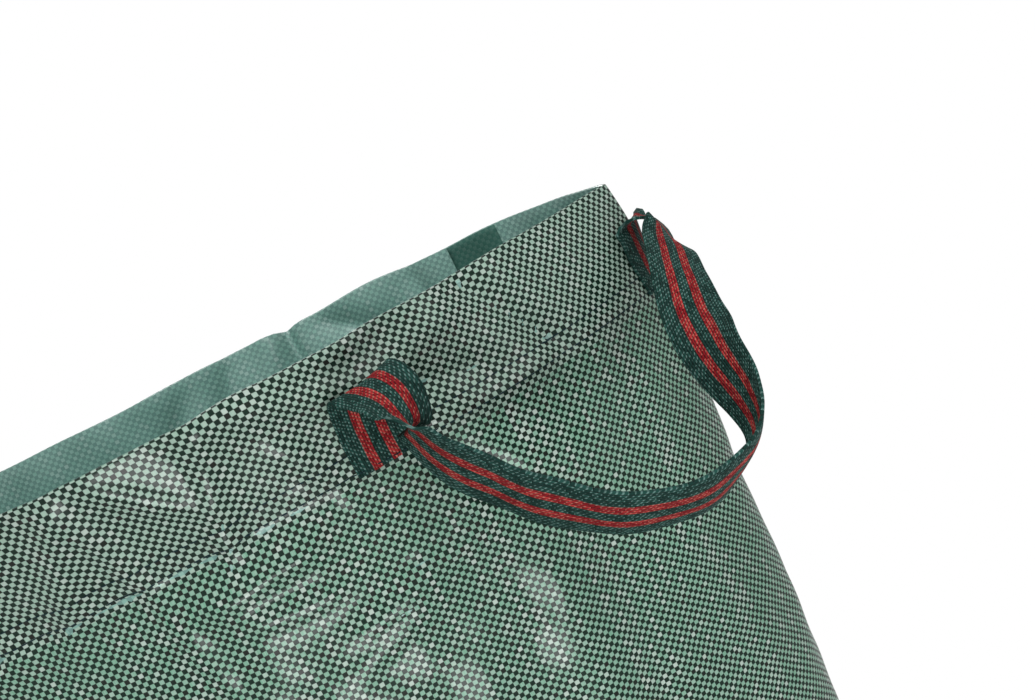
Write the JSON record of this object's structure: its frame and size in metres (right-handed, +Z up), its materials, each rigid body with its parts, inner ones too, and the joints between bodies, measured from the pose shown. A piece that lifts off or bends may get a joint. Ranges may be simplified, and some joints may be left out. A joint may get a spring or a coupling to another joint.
{
  "type": "garden waste bag",
  "caption": "Tall open sack of woven green tape on a round bottom, with a hemmed mouth, striped webbing carrying loops at the rim and a webbing tipping loop low on the back.",
  "frame": {"origin": "middle of the round bottom, on the ground the bag stands on", "axes": "+Z up, X along the length of the flattened mouth, -Y towards the bowed front wall with the front carrying handle"},
  "size_m": [0.6503, 0.4444, 0.76],
  "materials": {
    "woven_green_sheet": "coated plain weave of light and dark green flat tapes",
    "woven_green_inside": "satin coated inside of the same sheet",
    "dark_green_webbing": "matt woven webbing with narrow red stripes"
  },
  "bodies": {
    "bag": {"bag_wall": "woven_green_sheet", "top_hem": "woven_green_inside", "bag_bottom": "woven_green_sheet", "bottom_seam": "woven_green_inside", "side_seam": "woven_green_inside", "front_handle_end_left": "dark_green_webbing", "front_handle_end_right": "dark_green_webbing", "back_handle_end_left": "dark_green_webbing", "back_handle_end_right": "dark_green_webbing", "tipping_handle_end_left": "dark_green_webbing", "tipping_handle_end_right": "dark_green_webbing"},
    "front_handle": {"front_handle_loop": "dark_green_webbing"},
    "back_handle": {"back_handle_loop": "dark_green_webbing"},
    "tipping_handle": {"tipping_handle_loop": "dark_green_webbing"}
  },
  "joints": [
    {"name": "front_handle_swing", "type": "hinge", "parent": "bag", "child": "front_handle", "pos_m": [0.15764, -0.12161, 0.7413], "axis": [-0.8287, -0.5597, 0], "range_deg": [0, 120]},
    {"name": "back_handle_swing", "type": "hinge", "parent": "bag", "child": "back_handle", "pos_m": [-0.08933, 0.06434, 0.7413], "axis": [0.9999, -0.0142, 0], "range_deg": [0, 120]},
    {"name": "tipping_handle_swing", "type": "hinge", "parent": "bag", "child": "tipping_handle", "pos_m": [0.08464, 0.17713, 0.1243], "axis": [1, 0.0029, 0], "range_deg": [0, 115]}
  ]
}
